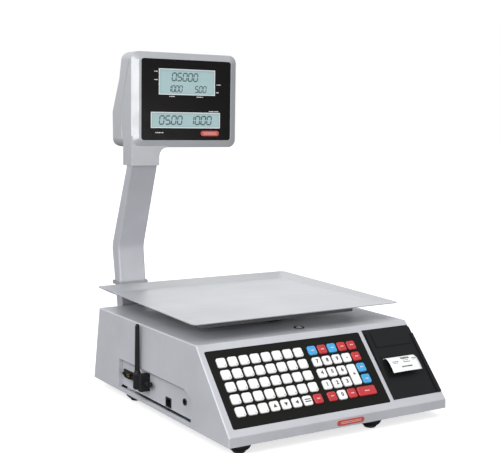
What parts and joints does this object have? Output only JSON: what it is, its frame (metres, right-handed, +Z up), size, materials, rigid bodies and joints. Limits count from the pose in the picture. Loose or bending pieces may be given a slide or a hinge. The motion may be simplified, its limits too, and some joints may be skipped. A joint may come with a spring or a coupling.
{
  "type": "retail price scale",
  "caption": "Counter-top retail scale: wedge housing with keypad and label printer, steel platter on a load cell, and a display head on a bent post.",
  "frame": {"origin": "centre of the base tray's underside; the feet hang below it", "axes": "+Z up, -Y towards the operator, +X to the operator's right"},
  "size_m": [0.4105, 0.4862, 0.5705],
  "materials": {
    "silver_housing": "satin silver moulded housing",
    "silver_post": "satin silver painted post",
    "silver_head": "satin silver moulded head",
    "galvanised": "galvanised sheet",
    "platter_steel": "brushed stainless sheet",
    "aluminium": "machined aluminium",
    "dark_casting": "black painted casting",
    "screw_steel": "zinc-plated screws",
    "black_plastic": "black moulded plastic",
    "keypad_black": "black keypad frame",
    "printer_black": "charcoal printer cover",
    "key_white": "off-white key caps",
    "key_red": "red domed key caps",
    "key_blue": "sky-blue domed key caps",
    "rubber": "black rubber",
    "mat_rubber": "dark grey contact mat",
    "board_green": "green circuit board",
    "black_window": "black display window",
    "lcd_glass": "pale blue-green display pane",
    "label_paper": "label paper",
    "badge_grey": "plain dark badge",
    "vial": "level vial",
    "motor_metal": "motor can"
  },
  "bodies": {
    "base": {"upper_housing": "silver_housing", "base_tray": "galvanised", "case_screws": "screw_steel", "io_panel": "silver_housing", "serial_port": "black_plastic", "network_port": "black_plastic", "power_jack": "black_plastic", "antenna_base": "black_plastic", "front_badge": "badge_grey", "level_ring": "black_plastic", "level_vial": "vial", "keypad_frame": "keypad_black", "keypad_mat": "mat_rubber", "keypad_board": "board_green", "label_web": "label_paper", "printer_chassis": "galvanised", "stepper_motor": "motor_metal", "print_head": "aluminium", "main_board": "board_green", "load_cell": "aluminium", "load_cell_pedestal": "galvanised", "display_post": "silver_post", "post_bracket": "black_plastic", "post_collar": "black_plastic", "head_front_shell": "silver_head", "head_rear_shell": "silver_head", "front_window": "black_window", "lcd_upper": "lcd_glass", "lcd_lower": "lcd_glass", "display_board": "board_green", "rear_window": "black_window", "lcd_rear": "lcd_glass", "foot_front_left": "rubber", "foot_front_middle": "rubber", "foot_front_right": "rubber", "foot_rear_left": "rubber", "foot_rear_right": "rubber"},
    "pan": {"pan_support": "dark_casting", "hub_bolts": "screw_steel", "pan_pads": "rubber"},
    "cover": {"printer_cover": "printer_black", "label": "label_paper"},
    "platter": {"platter": "platter_steel"},
    "plu_keys_row_1": {"plu_keys_row_1": "key_white"},
    "plu_keys_row_2": {"plu_keys_row_2": "key_white"},
    "plu_keys_row_3": {"plu_keys_row_3": "key_white"},
    "plu_keys_row_4": {"plu_keys_row_4": "key_white"},
    "plu_keys_row_5": {"plu_keys_row_5": "key_white"},
    "digit_keys_upper": {"digit_keys_upper": "key_white"},
    "digit_keys_middle": {"digit_keys_middle": "key_white"},
    "digit_keys_lower": {"digit_keys_lower": "key_white"},
    "zero_key": {"zero_key": "key_white"},
    "tall_key": {"tall_key": "key_white"},
    "enter_key": {"enter_key": "key_red"},
    "function_keys_red": {"function_keys_red": "key_red"},
    "function_keys_blue": {"function_keys_blue": "key_blue"},
    "label_roll": {"label_roll": "label_paper"},
    "platen_roller": {"platen_roller": "rubber"},
    "motor_pinion": {"motor_pinion": "black_plastic"},
    "antenna_rod": {"antenna_rod": "black_plastic"}
  },
  "joints": [
    {"name": "pan_deflection", "type": "slide", "parent": "base", "child": "pan", "axis": [0, 0, 1], "range_m": [-0.0008, 0], "stiffness_N_per_m": 150000},
    {"name": "platter_lift_off", "type": "slide", "parent": "pan", "child": "platter", "axis": [0, 0, 1], "range_m": [0, 0.05]},
    {"name": "cover_hinge", "type": "hinge", "parent": "base", "child": "cover", "pos_m": [0, -0.13063, 0.11491], "axis": [-1, 0, 0], "range_deg": [0, 85]},
    {"name": "label_roll_spin", "type": "hinge", "parent": "base", "child": "label_roll", "pos_m": [0, -0.112, 0.038], "axis": [1, 0, 0], "continuous": true},
    {"name": "platen_spin", "type": "hinge", "parent": "base", "child": "platen_roller", "pos_m": [0, -0.15009, 0.06453], "axis": [1, 0, 0], "continuous": true},
    {"name": "pinion_spin", "type": "hinge", "parent": "base", "child": "motor_pinion", "pos_m": [0, -0.15711, 0.04582], "axis": [1, 0, 0], "continuous": true},
    {"name": "aerial_fold", "type": "hinge", "parent": "base", "child": "antenna_rod", "pos_m": [-0.204, 0.048, 0.027], "axis": [0, 1, 0], "range_deg": [-90, 0]},
    {"name": "plu_keys_row_1_press", "type": "slide", "parent": "base", "child": "plu_keys_row_1", "axis": [0, 0.7431, -0.6691], "range_m": [0, 0.0012], "stiffness_N_per_m": 500},
    {"name": "plu_keys_row_2_press", "type": "slide", "parent": "base", "child": "plu_keys_row_2", "axis": [0, 0.7431, -0.6691], "range_m": [0, 0.0012], "stiffness_N_per_m": 500},
    {"name": "plu_keys_row_3_press", "type": "slide", "parent": "base", "child": "plu_keys_row_3", "axis": [0, 0.7431, -0.6691], "range_m": [0, 0.0012], "stiffness_N_per_m": 500},
    {"name": "plu_keys_row_4_press", "type": "slide", "parent": "base", "child": "plu_keys_row_4", "axis": [0, 0.7431, -0.6691], "range_m": [0, 0.0012], "stiffness_N_per_m": 500},
    {"name": "plu_keys_row_5_press", "type": "slide", "parent": "base", "child": "plu_keys_row_5", "axis": [0, 0.7431, -0.6691], "range_m": [0, 0.0012], "stiffness_N_per_m": 500},
    {"name": "digit_keys_upper_press", "type": "slide", "parent": "base", "child": "digit_keys_upper", "axis": [0, 0.7431, -0.6691], "range_m": [0, 0.0012], "stiffness_N_per_m": 500},
    {"name": "digit_keys_middle_press", "type": "slide", "parent": "base", "child": "digit_keys_middle", "axis": [0, 0.7431, -0.6691], "range_m": [0, 0.0012], "stiffness_N_per_m": 500},
    {"name": "digit_keys_lower_press", "type": "slide", "parent": "base", "child": "digit_keys_lower", "axis": [0, 0.7431, -0.6691], "range_m": [0, 0.0012], "stiffness_N_per_m": 500},
    {"name": "zero_key_press", "type": "slide", "parent": "base", "child": "zero_key", "axis": [0, 0.7431, -0.6691], "range_m": [0, 0.0012], "stiffness_N_per_m": 500},
    {"name": "tall_key_press", "type": "slide", "parent": "base", "child": "tall_key", "axis": [0, 0.7431, -0.6691], "range_m": [0, 0.0012], "stiffness_N_per_m": 500},
    {"name": "enter_key_press", "type": "slide", "parent": "base", "child": "enter_key", "axis": [0, 0.7431, -0.6691], "range_m": [0, 0.0012], "stiffness_N_per_m": 500},
    {"name": "function_keys_red_press", "type": "slide", "parent": "base", "child": "function_keys_red", "axis": [0, 0.7431, -0.6691], "range_m": [0, 0.0012], "stiffness_N_per_m": 500},
    {"name": "function_keys_blue_press", "type": "slide", "parent": "base", "child": "function_keys_blue", "axis": [0, 0.7431, -0.6691], "range_m": [0, 0.0012], "stiffness_N_per_m": 500}
  ],
  "couplings": [
    {"joint": "pinion_spin", "follows": "platen_spin", "ratio": -2.3333}
  ]
}
